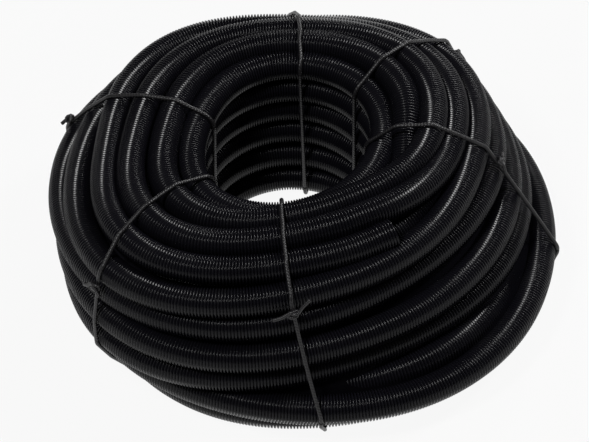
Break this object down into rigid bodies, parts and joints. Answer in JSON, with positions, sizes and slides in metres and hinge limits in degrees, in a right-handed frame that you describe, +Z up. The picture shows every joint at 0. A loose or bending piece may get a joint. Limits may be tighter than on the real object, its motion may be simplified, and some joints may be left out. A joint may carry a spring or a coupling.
{
  "type": "coil of corrugated conduit",
  "caption": "Tied coil of black corrugated flexible conduit with an open bore through the middle and one cut end on top, held by cord ties.",
  "frame": {"origin": "the middle of the part's box, on the floor under the ties", "axes": "+Z up along the coil's axis, -Y the front, +X to the right seen from the front; the cut end is at the front right"},
  "size_m": [0.4143, 0.4174, 0.1652],
  "materials": {
    "conduit": "black, semi-gloss, ribbed",
    "tie": "black, glossy cord"
  },
  "bodies": {
    "root": {"conduit": "conduit", "ties": "tie"}
  },
  "joints": []
}
